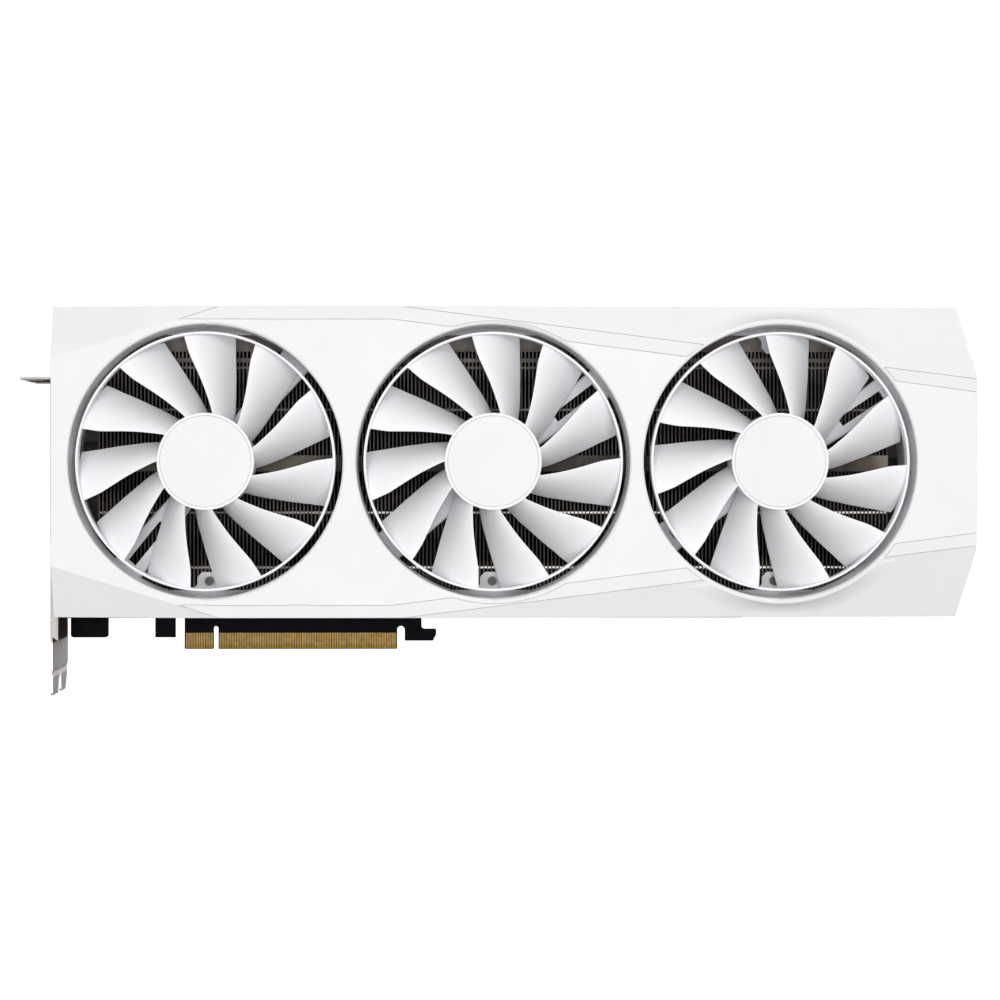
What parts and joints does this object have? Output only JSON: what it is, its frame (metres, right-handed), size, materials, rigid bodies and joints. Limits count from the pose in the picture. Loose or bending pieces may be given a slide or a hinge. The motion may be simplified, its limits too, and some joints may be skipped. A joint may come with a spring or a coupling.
{
  "type": "graphics card",
  "caption": "White graphics card with a row of spinning fans in a faceted shroud, dark fin heatsink, black board with gold slot contacts, and a double-width steel bracket.",
  "frame": {"origin": "on the outer face of the slot bracket, level with the component side of the circuit board and with the bottom edge of the slot connector", "axes": "+X from the bracket to the tail, -Y out of the fan side, +Y out of the backplate, +Z away from the slot connector"},
  "size_m": [0.3632, 0.0699, 0.1481],
  "materials": {
    "shroud": "satin",
    "trim": "satin",
    "rotor": "satin",
    "cap": "satin",
    "fan_frame": "satin",
    "magnet": "matt",
    "stator": "matt",
    "gold_bearing": "satin",
    "screws": "satin",
    "fins": "dark satin",
    "copper": "satin",
    "nuts": "satin",
    "pads": "matt",
    "board": "satin",
    "gold": "polished",
    "board_green": "satin",
    "silicon": "mirror-like",
    "chips": "matt",
    "coils": "matt",
    "cans": "satin",
    "sockets": "satin",
    "headers": "satin",
    "bracket": "satin",
    "port_metal": "satin",
    "backplate": "satin"
  },
  "bodies": {
    "card": {"backplate": "backplate", "backplate_screws": "screws", "bracket_screws": "screws", "capacitors": "cans", "choke_coils": "coils", "circuit_board": "board", "clamp_cross": "port_metal", "clamp_screws": "screws", "contact_plate": "copper", "display_ports": "port_metal", "edge_contacts": "gold", "fan_bearing_1": "gold_bearing", "fan_bearing_2": "gold_bearing", "fan_bearing_3": "gold_bearing", "fan_frame_1": "fan_frame", "fan_frame_2": "fan_frame", "fan_frame_3": "fan_frame", "fan_headers": "headers", "fan_screws": "screws", "fan_stator_1": "stator", "fan_stator_2": "stator", "fan_stator_3": "stator", "fin_stack_left": "fins", "fin_stack_middle": "fins", "fin_stack_right": "fins", "hdmi_port": "port_metal", "heat_pipes": "copper", "heatsink_nuts": "nuts", "io_bracket": "bracket", "memory_chips": "chips", "mounting_rails": "fan_frame", "port_tongues": "sockets", "power_pins": "gold", "power_sockets": "sockets", "power_stages": "chips", "processor_die": "silicon", "processor_substrate": "board_green", "shroud": "shroud", "shroud_screws": "screws", "thermal_pads": "pads", "trim_strip_lower": "trim", "trim_strip_upper": "trim"},
    "rotor_1": {"fan_rotor_1": "rotor", "hub_cap_1": "cap", "magnet_ring_1": "magnet", "fan_shaft_1": "screws"},
    "rotor_2": {"fan_rotor_2": "rotor", "hub_cap_2": "cap", "magnet_ring_2": "magnet", "fan_shaft_2": "screws"},
    "rotor_3": {"fan_rotor_3": "rotor", "hub_cap_3": "cap", "magnet_ring_3": "magnet", "fan_shaft_3": "screws"}
  },
  "joints": [
    {"name": "fan_1_spin", "type": "hinge", "parent": "card", "child": "rotor_1", "pos_m": [0.0625, -0.055, 0.0746], "axis": [0, -1, 0], "continuous": true},
    {"name": "fan_2_spin", "type": "hinge", "parent": "card", "child": "rotor_2", "pos_m": [0.1702, -0.055, 0.0746], "axis": [0, -1, 0], "continuous": true},
    {"name": "fan_3_spin", "type": "hinge", "parent": "card", "child": "rotor_3", "pos_m": [0.2779, -0.055, 0.0746], "axis": [0, -1, 0], "continuous": true}
  ]
}
